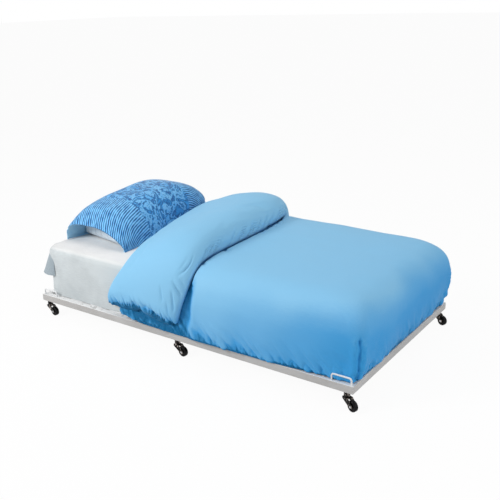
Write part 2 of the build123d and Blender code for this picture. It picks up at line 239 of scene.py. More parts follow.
def plan(hx, hy, r, bow_x, bow_y, z, along_side, along_end, at_corner):
    """A ring of points on a rounded rectangle, ends bowed out by bow_x and sides by bow_y."""
    points = []
    quarters = [(1, -1, -pi / 2), (1, 1, 0.0), (-1, 1, pi / 2), (-1, -1, pi)]
    for k, (cx, cy, turn) in enumerate(quarters):
        middle = Vector((cx * (hx - r), cy * (hy - r), z))
        for i in range(at_corner):
            angle = turn + pi / 2 * i / at_corner
            points.append(middle + Vector((r * cos(angle), r * sin(angle), 0)))
        start = middle + Vector((r * cos(turn + pi / 2), r * sin(turn + pi / 2), 0))
        nx, ny, nturn = quarters[(k + 1) % 4]
        end = Vector((nx * (hx - r) + r * cos(nturn), ny * (hy - r) + r * sin(nturn), z))
        count, bow = (along_end, bow_x) if k % 2 == 0 else (along_side, bow_y)
        out = Vector((cos(turn + pi / 2), sin(turn + pi / 2), 0))
        for i in range(count):
            share = i / count
            points.append(start.lerp(end, share) + out * bow * 4 * share * (1 - share))
    return points


# Mattress


# Height above the deck, inset from the full size, corner radius.
UNDERSIDE_FORM = [
    (0.0, HALF_WIDE, 0.0),
    (0.0, 0.36, 0.05),
]
MATTRESS_FORM = [
    (0.0, 0.2, 0.06),
    (0.0, 0.05, 0.06),
    (0.0, 0.016, 0.062),
    (0.004, 0.008, 0.066),
    (0.012, 0.003, 0.07),
    (0.036, 0.0, 0.072),
    (MATTRESS_H * 0.5, 0.004, 0.07),
    (MATTRESS_H - 0.046, 0.0005, 0.072),
    (MATTRESS_H - 0.024, 0.004, 0.07),
    (MATTRESS_H - 0.012, 0.012, 0.066),
    (MATTRESS_H - 0.005, 0.028, 0.062),
    (MATTRESS_H - 0.0015, 0.09, 0.06),
    (MATTRESS_H, 0.19, 0.06),
    (MATTRESS_H, 0.32, 0.06),
    (MATTRESS_H, 0.43, 0.04),
    (MATTRESS_H, HALF_WIDE, 0.0),
]
DRAWN_IN = -0.003  # bow of its sides and ends
MATTRESS_COUNTS = (90, 50, 8)  # points along a side, along an end and round a corner
QUILT = 0.16
TUFT_DEPTH = 0.0012


def bed_rings(form, grow, counts, times):
    """Rings of a form of the mattress, standing out from it by grow; its lower half isn't raised."""
    rings = []
    for height, inset, r in finer(form, times):
        rise = grow if height > MATTRESS_H / 2 else 0.0
        over = grow if r > 0.0 else 0.0
        hx, hy = HALF_LONG - inset + over, HALF_WIDE - inset + over
        rings.append(plan(hx, hy, r + over, DRAWN_IN, DRAWN_IN, DECK + height + rise, *counts))
    return rings


def tufts(point, normal):
    """Shallow quilting, above and underneath."""
    across = sin(point.x / QUILT * pi) * sin(point.y / QUILT * pi)
    return -TUFT_DEPTH * (1 - abs(across)) * abs(normal.z)


def make_mattress():
    """The quilted mattress inside the sheet."""
    rings = bed_rings(UNDERSIDE_FORM + MATTRESS_FORM, 0.0, MATTRESS_COUNTS, 1)
    piece = piece_from_rows("mattress_pad", rings, around=True)
    tidy(piece)
    push(piece, tufts)
    return piece


# Bottom sheet


SHEET_EDGE = [(0.0025, 0.0, 0.072), (0.016, 0.0, 0.072)]  # its lowest rows, as in the mattress's form
SHEET_COUNTS = (240, 130, 14)
SHEET_LIFT = 0.0012
SHEET_SLACK = Wave(0.0021, 0.16, 0.4, 3.1)
SHEET_PULLS = Wave(0.0016, 0.07, 0.5, 8.4)
SHEET_PULLS_LEAN = 0.6
SHEET_GATHERS = Wave(0.002, 0.04, 0.3, 5.5)
GATHERED = 0.14  # this far from each corner
EDGE_TURN = 0.05  # height over which the sheet turns from the top to the sides

# Loose end at the head: heights above the deck, then each fold's place across the bed as a share of the
# straight run, with the flare of the hem there.
FLAP_TOP = 0.268
FLAP_HEM = 0.114
FLAP_FOLDS = [
    (-1.0, 0.042),
    (-0.84, 0.052),
    (-0.6, 0.040),
    (-0.36, 0.058),
    (-0.1, 0.034),
    (0.18, 0.054),
    (0.46, 0.034),
    (0.74, 0.058),
    (1.0, 0.046),
]
FLAP_STEPS = 26
FLAP_CLEAR = 0.001
FLAP_ROOT = 0.02  # how far its upper edge runs in, out of sight
FLAP_CURVE = 1.3
FLAP_WAVER = Wave(0.12, 0.09, 2 / 3, 2.2)  # as a share of its flare
FLAP_UNEVEN = Wave(0.004, 0.2, 1.0, 6.1)
CORNER_R = 0.073
CORNER_ROWS = 12
CORNER_TIP = 0.3  # where the hem comes to a point, as a share of the way round a corner
TIP_FLARE = 0.054
FLAP_SHADE = 0.02  # its ends are shaded like a fold this deep
FLAP_SHADED = (HALF_WIDE - 0.12, HALF_WIDE - 0.04)


def sheet_relief(point, normal):
    """Soft pulls over the top, slack at the sides and gathers at the corners."""
    low = fade(point.z, MATTRESS_TOP, MATTRESS_TOP - EDGE_TURN)
    along = point.x if abs(normal.y) > abs(normal.x) else point.y
    slack = ripple(SHEET_SLACK, along, point.z) * low
    pulls = abs(ripple(SHEET_PULLS, point.x + SHEET_PULLS_LEAN * point.y, point.y)) * (1 - low)
    corner = fade(abs(point.x), HALF_LONG - GATHERED, HALF_LONG)
    corner *= fade(abs(point.y), HALF_WIDE - GATHERED, HALF_WIDE)
    gathers = crease(SHEET_GATHERS, point.x - point.y, point.z) * corner * low
    return SHEET_LIFT + slack + pulls - gathers


def make_sheet():
    """The sheet over the mattress and its loose end, as one piece."""
    form = SHEET_EDGE + [row for row in MATTRESS_FORM if row[0] > SHEET_EDGE[-1][0]]
    piece = piece_from_rows("sheet", bed_rings(form, SHEET_OUT, SHEET_COUNTS, 2), around=True)
    tidy(piece)
    push(piece, sheet_relief)
    flap = make_flap()
    with bpy.context.temp_override(active_object=piece, selected_editable_objects=[piece, flap]):
        bpy.ops.object.join()
    return piece


def flap_path():
    """Along the flap: foot point on the sheet, way out and flare, round both corners of the mattress."""
    middle_x = HEAD_END - SHEET_OUT + CORNER_R
    middle_y = HALF_WIDE + SHEET_OUT - CORNER_R
    straight = []
    for share, flare in finer(FLAP_FOLDS, 4):
        straight.append((Vector((middle_x - CORNER_R, share * middle_y, 0)), Vector((-1, 0, 0)), flare))
    corners = []
    for side, flare in ((-1, straight[0][2]), (1, straight[-1][2])):
        rows = []
        flares = [flare, TIP_FLARE, 0.0]
        for i in range(1, CORNER_ROWS + 1):
            share = i / CORNER_ROWS
            out = Vector((-cos(share * pi / 2), side * sin(share * pi / 2), 0))
            reach = between(share, [0.0, CORNER_TIP, 1.0], flares)
            rows.append((Vector((middle_x, side * middle_y, 0)) + out * CORNER_R, out, reach))
        corners.append(rows)
    return corners[0][::-1] + straight + corners[1]


def flap_shade(point):
    """Shade of the loose end, deepest at the bed's corners."""
    return FLAP_SHADE * fade(abs(point.y), *FLAP_SHADED)


def make_flap():
    """The loose end of the sheet, hanging clear of the mattress at the head."""
    rows = []
    for foot, out, flare in flap_path():
        row = []
        for i in range(FLAP_STEPS + 1):
            down = i / FLAP_STEPS
            reach = FLAP_CLEAR + flare * down**FLAP_CURVE * (1 + ripple(FLAP_WAVER, foot.y, down))
            reach -= FLAP_ROOT * (1 - down) ** 4
            z = DECK + FLAP_TOP - down * (FLAP_TOP - FLAP_HEM) + down * ripple(FLAP_UNEVEN, foot.y)
            row.append(foot + out * reach + Vector((0, 0, z)))
        rows.append(row)
    flap = piece_from_rows("sheet_flap", rows)
    flap.data.attributes.new("fold", "FLOAT", "POINT")
    shade(flap, flap_shade)
    return flap


# Duvet's lower layer


# Height above its hem, reach past the mattress at the foot and at the sides, corner radius, bow of the foot
# and of the sides. The first rows turn in under the hem, the last close the top.
DUVET_FORM = [
    (0.070, 0.0045, 0.0050, 0.030, 0.002, 0.046),
    (0.012, 0.0045, 0.0050, 0.030, 0.003, 0.048),
    (0.000, 0.0090, 0.0065, 0.032, 0.004, 0.049),
    (0.012, 0.0180, 0.0100, 0.036, 0.005, 0.051),
    (0.058, 0.034, 0.015, 0.042, 0.008, 0.052),
    (0.128, 0.048, 0.026, 0.056, 0.008, 0.044),
    (0.198, 0.050, 0.030, 0.066, 0.008, 0.038),
    (0.248, 0.042, 0.025, 0.070, 0.008, 0.032),
    (0.286, 0.026, 0.014, 0.076, 0.007, 0.026),
    (0.318, -0.004, -0.008, 0.080, 0.006, 0.020),
    (0.344, -0.054, -0.042, 0.084, 0.005, 0.014),
    (0.359, -0.140, -0.094, 0.088, 0.004, 0.010),
    (0.365, -0.250, -0.190, 0.090, 0.002, 0.005),
    (0.367, -0.360, -0.300, 0.080, 0.001, 0.002),
    (0.368, -0.460, -0.400, 0.060, 0.0, 0.0),
    (0.368, -0.540, -HALF_WIDE, 0.0, 0.0, 0.0),
]
DUVET_HEAD_NEAR = HEAD_END + 0.598
DUVET_HEAD_FAR = HEAD_END + 0.468
HEAD_SLANT = 0.15  # how much further from the head it ends on top than at its hem
SLANT_FROM = DECK + 0.1
DUVET_COUNTS = (420, 210, 28)
UPRIGHT = (0.8, 0.35)  # rise of a normal, from cloth that lies to cloth that hangs
DUVET_STUFFING = [(0.005, 0.34, 1.7), (0.002, 0.12, 4.2)]
FIRM_HEM = 0.6  # share of the stuffing's lumps that the hem doesn't show

# Folds of its sides, with the heights above the hem between which each grows to its depth.
SIDE_SLACK = Wave(0.007, 0.12, 0.5, 6.3)
SLACK_GROWS = (0.26, 0.05)
HEM_GATHERS = Wave(0.006, 0.048, 0.16, 9.1)
GATHERS_GROW = (0.1, 0.01)
GATHERS_LEAN = 0.35
HEM_PLEATS = Wave(0.004, 0.028, 0.12, 4.4)
PLEATS_GROW = (0.06, 0.01)
PLEATS_LEAN = -0.2
HEM_STREAKS = Wave(0.008, 0.024, 0.07, 2.6)
STREAKS_GROW = (0.17, 0.03)
STREAKS_LEAN = 0.8
EDGE_SHADE = 0.010  # the edge of the hem is shaded like a fold this deep
EDGE_SHADED = (0.014, 0.003)

# Bulge into the retainer loops at the foot: depth, then heights above the hem and places along the bed
# between which it grows, and how far a normal has to point to the side.
LOOP_BULGE = 0.010
LOOP_HEIGHTS = (0.09, 0.02)
LOOP_PLACES = (0.80, 0.87)
SIDEWAYS = (0.5, 0.9)

# Beside the band, with the distances past its front edge between which each grows to its depth.
VALLEY_DEPTH = 0.028
VALLEY_GROWS = (0.010, -0.006)
VALLEY_HEIGHTS = (DECK + 0.23, DECK + 0.3)
VALLEY_PUCKERS = Wave(0.008, 0.04, 0.2, 3.3)
PUCKERS_GROW = (0.055, 0.0)
CRUMPLE = Wave(0.010, 0.075, 0.022, 5.9)
CRUMPLE_GROWS = (0.0, -0.03)
CRUMPLE_LEAN = 0.7

# Strip drawn in under the band, and the gap beside the band that shows it.
GAP_HIGH = DECK + 0.34  # where the gap closes
GAP_LOW = DECK + 0.11
GAP_WIDE = 0.066
GAP_EDGE = (0.036, -0.020)
TUCKED = 0.66  # share of its reach past the mattress that is drawn in
TUCKED_AT_HEM = 0.35  # share of that at the hem
TUCK_FADE = 0.1
HEM_ZONE = 0.12  # height of what the hem changes
HEM_LIFT = 0.02
LIFT_LENGTH = 0.18
TUCK_SHADE = 0.006  # it is shaded like a fold this deep at the hem
TUCK_DARKENS = 0.14  # and this much deeper with each metre above it
SHADE_FADE = 0.06

# Tuck down each foot corner: where it starts along the bed, and the puffs and creases beside it.
CORNER_AT = Vector((HALF_LONG + 0.031, HALF_WIDE + 0.009))
CORNER_FROM = (0.86, 0.92)
TUCK_WIDTH = 0.006
TUCK_DEPTH = 0.014
TUCK_TOP = 0.225  # above the hem
TUCK_RUN_OUT = 0.04
TUCK_WANDER = Wave(0.006, 0.035, 1.0, 2.9)
TUCK_LEAST = 0.75  # of its depth, to which the next is added
TUCK_UNEVEN = Wave(0.5, 0.02, 1.0, 7.2)
TUCK_CREASES = Wave(0.006, 0.026, 0.1, 3.7)
CREASES_LEAN = 0.5
CREASES_REACH = 0.04
PUFF_HEIGHT = 0.005
PUFF_AT = 0.03
PUFF_WIDTH = 0.02

# Turned-back band from the near hem over the bed to the far hem: place across the bed as a share of the
# half width, height above the deck, lean of the section, head edge and front edge from the mattress's head
# end, thickness at the head edge and at the front roll.
BAND_HEM = 0.06
BAND_FORM = [
    (-1.037, BAND_HEM, -90.0, 0.510, 0.976, 0.030, 0.056),
    (-1.029, 0.105, -90.0, 0.512, 0.991, 0.044, 0.072),
    (-1.017, 0.170, -87.0, 0.543, 1.018, 0.050, 0.080),
    (-0.988, 0.240, -68.0, 0.598, 1.050, 0.056, 0.098),
    (-0.9, 0.300, -36.0, 0.644, 1.068, 0.064, 0.128),
    (-0.69, 0.316, -12.0, 0.636, 1.064, 0.070, 0.154),
    (-0.35, 0.320, -3.0, 0.586, 1.060, 0.072, 0.164),
    (0.0, 0.320, 0.0, 0.536, 1.056, 0.072, 0.168),
    (0.35, 0.320, 3.0, 0.494, 1.046, 0.072, 0.170),
    (0.69, 0.316, 12.0, 0.460, 1.022, 0.070, 0.174),
    (0.9, 0.300, 36.0, 0.444, 0.968, 0.064, 0.150),
    (0.988, 0.240, 68.0, 0.430, 0.944, 0.056, 0.108),
    (1.017, 0.170, 87.0, 0.418, 0.932, 0.050, 0.080),
    (1.029, 0.105, 90.0, 0.410, 0.924, 0.044, 0.072),
    (1.037, BAND_HEM, 90.0, 0.406, 0.918, 0.030, 0.056),
]
BAND_NEAR_ROWS = BAND_FORM[:5]
BAND_TOP_ROWS = BAND_FORM[4:11]
BAND_FAR_ROWS = BAND_FORM[:9:-1]
SHOULDER = DECK + 0.3


def band_front(point):
    """X of the band's front edge beside a point of the lower layer."""
    if point.z > SHOULDER:
        places = [row[0] * HALF_WIDE for row in BAND_TOP_ROWS]
        return HEAD_END + between(point.y, places, [row[4] for row in BAND_TOP_ROWS])
    rows = BAND_NEAR_ROWS if point.y < 0 else BAND_FAR_ROWS
    return HEAD_END + between(point.z, [DECK + row[1] for row in rows], [row[4] for row in rows])


def head_line(point):
    """X where the lower layer ends: further from the head the higher up, where the band covers it."""
    if point.z < SHOULDER:
        end = DUVET_HEAD_NEAR if point.y < 0 else DUVET_HEAD_FAR
    else:
        share = (point.y + HALF_WIDE) / (2 * HALF_WIDE)
        end = DUVET_HEAD_NEAR + share * (DUVET_HEAD_FAR - DUVET_HEAD_NEAR)
    return end + HEAD_SLANT * fade(point.z, SLANT_FROM, GAP_HIGH)


def under_band(point):
    """1 under the band and in the gap beside its front edge, 0 beyond them."""
    gap = GAP_WIDE * clamp((GAP_HIGH - point.z) / (GAP_HIGH - GAP_LOW))
    if point.y > 0:
        gap = 0.0
    return fade(point.x - band_front(point) - gap, *GAP_EDGE)


def tuck_under_band(piece):
    """Cuts the lower layer off under the band and draws in what is left of its sides there."""
    work = bmesh.new()
    work.from_mesh(piece.data)
    middles = {face: face.calc_center_median() for face in work.faces}
    hidden = [face for face, at in middles.items() if at.x < head_line(at)]
    bmesh.ops.delete(work, geom=hidden, context="FACES")
    inner = HALF_WIDE + SHEET_OUT + DUVET_CLEAR / 2
    for vertex in work.verts:
        spot = vertex.co
        if abs(spot.y) > inner and spot.z < GAP_HIGH:
            drawn = TUCKED * under_band(spot) * fade(spot.z, GAP_HIGH, GAP_HIGH - TUCK_FADE)
            above = spot.z - DUVET_HEM
            drawn *= TUCKED_AT_HEM + (1 - TUCKED_AT_HEM) * fade(above, 0.0, HEM_ZONE)
            sign = 1 if spot.y > 0 else -1
            spot.y = sign * (inner + (abs(spot.y) - inner) * (1 - drawn))
            lift = HEM_LIFT * fade(spot.x - DUVET_HEAD_NEAR, LIFT_LENGTH, 0.0)
            spot.z += lift * fade(above, HEM_ZONE, 0.0)
    work.to_mesh(piece.data)
    work.free()


def foot_tuck(point, above):
    """How far the tuck down a foot corner draws the cloth in, less the puffs beside it."""
    past = (point.x - CORNER_AT.x) - (abs(point.y) - CORNER_AT.y) + ripple(TUCK_WANDER, above)
    reach = fade(above, TUCK_TOP, TUCK_TOP - TUCK_RUN_OUT) * fade(point.x, *CORNER_FROM)
    depth = TUCK_DEPTH * (TUCK_LEAST + ripple(TUCK_UNEVEN, above))
    creases = crease(TUCK_CREASES, above + CREASES_LEAN * abs(past), past, 2) * bell(past, CREASES_REACH)
    puffs = PUFF_HEIGHT * bell(abs(past) - PUFF_AT, PUFF_WIDTH)
    return (depth * bell(past, TUCK_WIDTH) + creases - puffs) * reach


def duvet_relief(point, normal):
    """Soft stuffing, hem gathers, the tuck down each foot corner and the valley along the band."""
    hanging = fade(abs(normal.z), *UPRIGHT)
    above = point.z - DUVET_HEM
    along = point.x if abs(normal.y) > abs(normal.x) else point.y
    near_hem = fade(above, *GATHERS_GROW) * hanging
    gathers = crease(HEM_GATHERS, along + GATHERS_LEAN * above, above, 2) * near_hem
    pleats = crease(HEM_PLEATS, along + PLEATS_LEAN * above, above, 2) * fade(above, *PLEATS_GROW)
    streaks = ripple(HEM_STREAKS, along + STREAKS_LEAN * above, above) * fade(above, *STREAKS_GROW)
    past = point.x - band_front(point)
    valley = VALLEY_DEPTH * fade(past, *VALLEY_GROWS)
    valley += crease(VALLEY_PUCKERS, point.y - point.z, past, 2) * fade(past, *PUCKERS_GROW)
    under = under_band(point)
    slack = ripple(SIDE_SLACK, along, above) * fade(above, *SLACK_GROWS)
    crumple = ripple(CRUMPLE, point.x + CRUMPLE_LEAN * point.z, point.z) * fade(past, *CRUMPLE_GROWS)
    bulge = LOOP_BULGE * fade(above, *LOOP_HEIGHTS) * fade(point.x, *LOOP_PLACES)
    bulge *= fade(abs(normal.y), *SIDEWAYS)
    folds = slack * (1 - under) + crumple * under - pleats - streaks
    soft = stuffing(point, DUVET_STUFFING) * (1 - FIRM_HEM * near_hem)
    sides = (folds + bulge - foot_tuck(point, above)) * hanging
    return soft + sides - gathers - valley * fade(point.z, *VALLEY_HEIGHTS)


def duvet_shade(point):
    """Shade of the strip under the band and of the edge of the hem."""
    above = point.z - DUVET_HEM
    tucked = under_band(point) * fade(point.z, GAP_HIGH, GAP_HIGH - SHADE_FADE)
    return (TUCK_SHADE + TUCK_DARKENS * above) * tucked + EDGE_SHADE * fade(above, *EDGE_SHADED)


def make_duvet_body():
    """The lower layer over both sides and the foot, open at the head under the band."""
    rings = []
    for height, over_x, over_y, r, bow_x, bow_y in finer(DUVET_FORM, 3):
        hx, hy = HALF_LONG + over_x, HALF_WIDE + over_y
        rings.append(plan(hx, hy, r, bow_x, bow_y, DUVET_HEM + height, *DUVET_COUNTS))
    piece = piece_from_rows("duvet_body", rings, around=True)
    tidy(piece)
    tuck_under_band(piece)
    push(piece, duvet_relief)
    shade(piece, duvet_shade)
    return piece


# Duvet's turned-back band


HEM_ARCH = 0.014  # how much higher the band hangs just past its head corner
HEM_RISE = 0.040  # the same in the middle of its hem, added to that
CORNER_DROP = 0.012  # how much lower its front corner hangs
HEM_SHAPED = 0.17  # height above the deck where its sides run straight again
HEM_SHADE = 0.010  # the hem's edge is shaded like a fold this deep
HEM_SHADED = (0.016, 0.0)
TURNED_UNDER = 0.034  # depth of the fold at its head edge, on top of the bed
TURNED_LEAST = 0.006
TURNED_LEANS = (70.0, 20.0)  # leans of the section between which that grows
# Scale of the rows that close it at a hem, and how far they drop.
BAND_CAP = [(0.93, 0.006), (0.7, 0.012), (0.3, 0.014), (0.0, 0.014)]
BAND_PRESSURE = 1.0
BAND_GIVE = 0.006  # furthest that its stuffing moves a point
BAND_STUFFING = [(0.005, 0.3, 5.2), (0.0022, 0.11, 7.7)]

# Gathers along its hems and puckers along its front seam, with the distances between which each grows.
BAND_GATHERS = Wave(0.011, 0.05, 0.3, 1.4)
BAND_GATHERS_GROW = (0.075, 0.0)
BAND_PLEATS = Wave(0.009, 0.026, 0.2, 8.2)
BAND_PLEATS_GROW = (0.034, 0.0)
BAND_LEAN = 0.2
SEAM_PUCKERS = Wave(0.013, 0.036, 0.2, 6.6)
SEAM_GROWS = (0.07, 0.01)
SEAM_HEIGHTS = (DECK + 0.27, DECK + 0.33)
SEAM_FACES = (0.75, 0.2)  # rise of a normal, from the top of the roll to its front

# Long folds near its front edge, from top to foot: distance behind the edge and height above the hem at
# each end, then depth.
FRONT_FOLDS = [
    (0.072, 0.235, 0.016, 0.165, 0.009),
    (0.048, 0.255, 0.010, 0.205, 0.007),
    (0.062, 0.185, 0.022, 0.085, 0.006),
    (0.070, 0.125, 0.040, 0.055, 0.004),
    (0.130, 0.200, 0.095, 0.130, 0.005),
]
FOLD_WIDTH = 0.006
FOLD_TAPER = 0.02
FACING_NEAR = (0.3, 0.8)


def hem_rise(along):
    """How much higher the band's hem hangs at a share of the way from its head edge to its front edge."""
    share = clamp(along)
    arch = HEM_ARCH * sin(pi * share**0.6) + HEM_RISE * sin(pi * share**1.4)
    return arch - CORNER_DROP * share**8


def above_hem(point):
    """Height of a point of the band over the hem below it."""
    head, front = (BAND_FORM[0] if point.y < 0 else BAND_FORM[-1])[3:5]
    return point.z - DECK - BAND_HEM - hem_rise((point.x - HEAD_END - head) / (front - head))


def clear_of_bed(point):
    """The point itself, or the nearest one outside the sheet."""
    side = HALF_WIDE + SHEET_OUT + DUVET_CLEAR
    top = BED_TOP + DUVET_CLEAR
    if abs(point.y) >= side or point.z >= top:
        return point
    if side - abs(point.y) < top - point.z:
        return Vector((point.x, side if point.y > 0 else -side, point.z))
    return Vector((point.x, point.y, top))


def band_section(share, height, lean, head, front, t_head, t_roll):
    """One closed section of the band, from its fold at the head over the roll and back underneath."""
    y, z = share * HALF_WIDE, DECK + height
    out_y, out_z = sin(radians(lean)), cos(radians(lean))
    under = TURNED_UNDER * fade(abs(lean), *TURNED_LEANS) + TURNED_LEAST
    outline = [
        (0.06, -under),
        (0.005, -0.4 * under),
        (-0.012, 0.45 * t_head),
        (0.045, 0.97 * t_head),
        (0.2, t_head + 0.3 * (t_roll - t_head)),
        (0.42, t_head + 0.74 * (t_roll - t_head)),
        (0.69, t_roll),
        (0.89, 0.92 * t_roll),
        (0.985, 0.66 * t_roll),
        (1.0, 0.42 * t_roll),
        (0.97, 0.25 * t_roll),
        (0.86, 0.12 * t_roll),
        (0.6, 0.03 * t_roll),
    ]
    points = []
    for along, out in finer(outline, 4, closed=True):
        x = HEAD_END + head + along * (front - head)
        arch = hem_rise(along) * fade(height, HEM_SHAPED, BAND_HEM)
        points.append(clear_of_bed(Vector((x, y + out_y * out, z + arch + out_z * out))))
    return points


def front_folds(behind, above):
    """How deep the long folds are at a distance behind the front edge and a height above the hem."""
    depth = 0.0
    for behind_top, top, behind_foot, foot, deep in FRONT_FOLDS:
        share = clamp((top - above) / (top - foot))
        off = behind - (behind_top + share * (behind_foot - behind_top))
        reach = fade(above, top + FOLD_TAPER, top - 1.5 * FOLD_TAPER)
        reach *= fade(above, foot - FOLD_TAPER, foot + FOLD_TAPER)
        depth += deep * bell(off, FOLD_WIDTH) * reach
    return depth


def band_relief(point, normal):
    """Stuffing, gathers along both hems, puckers along the front seam and a few long folds."""
    above = point.z - DECK - BAND_HEM
    from_hem = above_hem(point)
    lean = BAND_LEAN * above
    gathers = crease(BAND_GATHERS, point.x + lean, above, 2) * fade(from_hem, *BAND_GATHERS_GROW)
    gathers += crease(BAND_PLEATS, point.x - lean, above) * fade(from_hem, *BAND_PLEATS_GROW)
    behind = band_front(point) - point.x
    on_seam = fade(behind, *SEAM_GROWS) * fade(point.z, *SEAM_HEIGHTS) * fade(normal.z, *SEAM_FACES)
    seam = crease(SEAM_PUCKERS, point.y - point.z, behind, 2) * on_seam
    folds = front_folds(behind, above) * fade(-normal.y, *FACING_NEAR)
    return stuffing(point, BAND_STUFFING) - gathers - seam - folds


def band_shade(point):
    """Shade of the edge of the band's hem."""
    return HEM_SHADE * fade(above_hem(point), *HEM_SHADED)


def make_duvet_band():
    """The thick turned-back end, closed all round and stuffed."""
    sections = [band_section(*row) for row in finer(BAND_FORM, 3)]
    down = Vector((0, 0, -1))
    near_cap = closing_rows(sections[0], BAND_CAP, down)
    far_cap = closing_rows(sections[-1], BAND_CAP, down)
    piece = piece_from_rows("duvet_band", near_cap[::-1] + sections + far_cap, around=True)
    tidy(piece)
    puff(piece, BAND_PRESSURE, BAND_GIVE)
    make_finer(piece)
    push(piece, band_relief)
    shade(piece, band_shade)
    return piece


# Pillow and pillowcase


# Place across the bed, back edge and front edge from the mattress's head end, height, power of the arch's
# front: the lower, the squarer.
PILLOW_FORM = [
    (-0.345, 0.032, 0.478, 0.105, 1.3),
    (-0.300, 0.032, 0.476, 0.146, 1.1),
    (-0.230, 0.034, 0.472, 0.186, 1.0),
    (-0.110, 0.038, 0.466, 0.214, 0.9),
    (0.0, 0.040, 0.458, 0.227, 0.85),
    (0.120, 0.040, 0.448, 0.236, 0.75),
    (0.220, 0.040, 0.436, 0.236, 0.65),
    (0.310, 0.044, 0.426, 0.221, 0.55),
    (0.385, 0.052, 0.416, 0.190, 0.48),
    (0.435, 0.068, 0.408, 0.146, 0.44),
]
MOUTH = PILLOW_FORM[0][0]
CASE_MIDDLE = (MOUTH + PILLOW_FORM[-1][0]) / 2
BACK_POWER = 0.5
PILLOW_LIFT = 0.001
ARCH_STEPS = 72
BASE_STEPS = 24
CASE_T = 0.002
CASE_STUFFING = [(0.003, 0.16, 2.4), (0.0012, 0.06, 9.3)]
CASE_PULLS = Wave(0.005, 0.055, 0.3, 7.1)
CASE_PULLS_GROW = (0.27, 0.39)  # distances from the middle
RESTING = (0.004, 0.03)  # heights above the sheet between which relief sets in
MOUTH_DEPTH = 0.22
UNDER_RECESS = 0.17  # how far the case's lower layer lies behind its upper hem at the back
FRONT_RECESS = 0.08  # the same at the front
RECESS_DEPTH = 0.3  # how far in its rows lie straight again
RECESS_FRONT = (0.0, 0.22)  # shares of the underside over which the recess sets in and ends
RECESS_BACK = (1.0, 0.93)
PILLOW_INSET = 0.010
FRONT_INSET = 2.5  # times that, at the front
PILLOW_BACK = -0.034  # how far behind the case's lower layer its near end lies; it stands out over that
# Scale and share of the depth of the rows that round off the far end.
FAR_CAP = [(0.97, 0.35), (0.86, 0.75), (0.6, 0.95), (0.3, 1.0), (0.0, 1.0)]
CASE_CAP = Vector((0, 0.012, 0))
PILLOW_CAP = Vector((0, 0.006, 0))
# Scale of the rows that round off the pillow's near end, and how far they stand out.
NEAR_CAP = [(0.0, 0.022), (0.5, 0.020), (0.8, 0.013), (0.95, 0.005)]


def pillow_section(y, back, front, height, front_power, inset=0.0):
    """A closed section: an arch from the back edge to the front edge, then the flat underside."""
    back += HEAD_END + inset
    front += HEAD_END - FRONT_INSET * inset
    base = BED_TOP + PILLOW_LIFT + inset
    rise = height - 2 * inset
    middle, half = (front + back) / 2, (front - back) / 2
    points = []
    for i in range(ARCH_STEPS):
        turn = pi * i / ARCH_STEPS
        power = BACK_POWER if turn < pi / 2 else front_power
        reach = abs(cos(turn)) ** power
        along = -reach if turn < pi / 2 else reach
        points.append(Vector((middle + half * along, y, base + rise * sin(turn) ** power)))
    for i in range(BASE_STEPS):
        share = i / BASE_STEPS
        inner = mouth_recess(share, y) * fade(share, *RECESS_FRONT) * fade(share, *RECESS_BACK)
        points.append(Vector((front + (back - front) * share, y + inner, base)))
    return points


def mouth_recess(share, y, behind=0.0):
    """How far what lies under the upper hem is drawn back, at a share of the way from front to back."""
    reach = FRONT_RECESS + share * (UNDER_RECESS - FRONT_RECESS) + behind
    return reach * fade(y - MOUTH, RECESS_DEPTH, 0.0)


def case_relief(point, normal):
    """Stuffing, and pulls towards both ends, away from the sheet only."""
    to_end = fade(abs(point.y - CASE_MIDDLE), *CASE_PULLS_GROW)
    pulls = crease(CASE_PULLS, point.x + point.z, point.y) * to_end
    return (stuffing(point, CASE_STUFFING) - pulls) * fade(point.z - BED_TOP, *RESTING)


def make_pillowcase():
    """A bag of one thickness of cotton with a turned-in mouth at the near end."""
    rows = [pillow_section(*row) for row in finer(PILLOW_FORM, 3)]
    closed = rows + closing_rows(rows[-1], FAR_CAP, CASE_CAP)
    form = piece_from_rows("pillowcase_form", closed, around=True)
    push(form, case_relief)
    points = [vertex.co.copy() for vertex in form.data.vertices]
    inner = [vertex.co - vertex.normal * CASE_T for vertex in form.data.vertices]
    bpy.data.objects.remove(form)
    width = len(rows[0])
    depth = len([row for row in rows if row[0].y < MOUTH + MOUTH_DEPTH])
    inside = [inner[i : i + width] for i in range(0, depth * width, width)]
    outside = [points[i : i + width] for i in range(0, len(points), width)]
    piece = piece_from_rows("pillowcase_cover", inside[::-1] + outside, around=True)
    mark_case(piece, depth, width)
    return piece


def mark_case(piece, inner_rows, width):
    """Keeps each point's place round the case and the rim of its mouth, and gives the inside its own
    material."""
    around = piece.data.attributes.new("around", "FLOAT", "POINT")
    rim = piece.data.attributes.new("rim", "FLOAT", "POINT")
    points = [vertex.co for vertex in piece.data.vertices]
    for start in range(0, len(points), width):
        length = 0.0
        at_rim = start // width in (inner_rows - 1, inner_rows)
        for j in range(width):
            around.data[start + j].value = length
            rim.data[start + j].value = 1.0 if at_rim else 0.0
            length += (points[start + (j + 1) % width] - points[start + j]).length
    for face in piece.data.polygons:
        face.material_index = 1 if min(face.vertices) // width < inner_rows else 0


def make_pillow():
    """The white pillow; its near end stands back from the mouth and rests on the case's lower layer."""
    back, front = PILLOW_FORM[0][1:3]
    rows = []
    for row in finer(PILLOW_FORM, 3):
        points = []
        for point in pillow_section(*row, inset=PILLOW_INSET):
            share = clamp((HEAD_END + front - point.x) / (front - back))
            points.append(Vector((point.x, row[0] + mouth_recess(share, row[0], PILLOW_BACK), point.z)))
        rows.append(points)
    near_cap = closing_rows(rows[0], NEAR_CAP, Vector((0, -1, 0)))
    far_cap = closing_rows(rows[-1], FAR_CAP, PILLOW_CAP)
    piece = piece_from_rows("pillow_pad", near_cap + rows + far_cap, around=True)
    tidy(piece)
    return piece


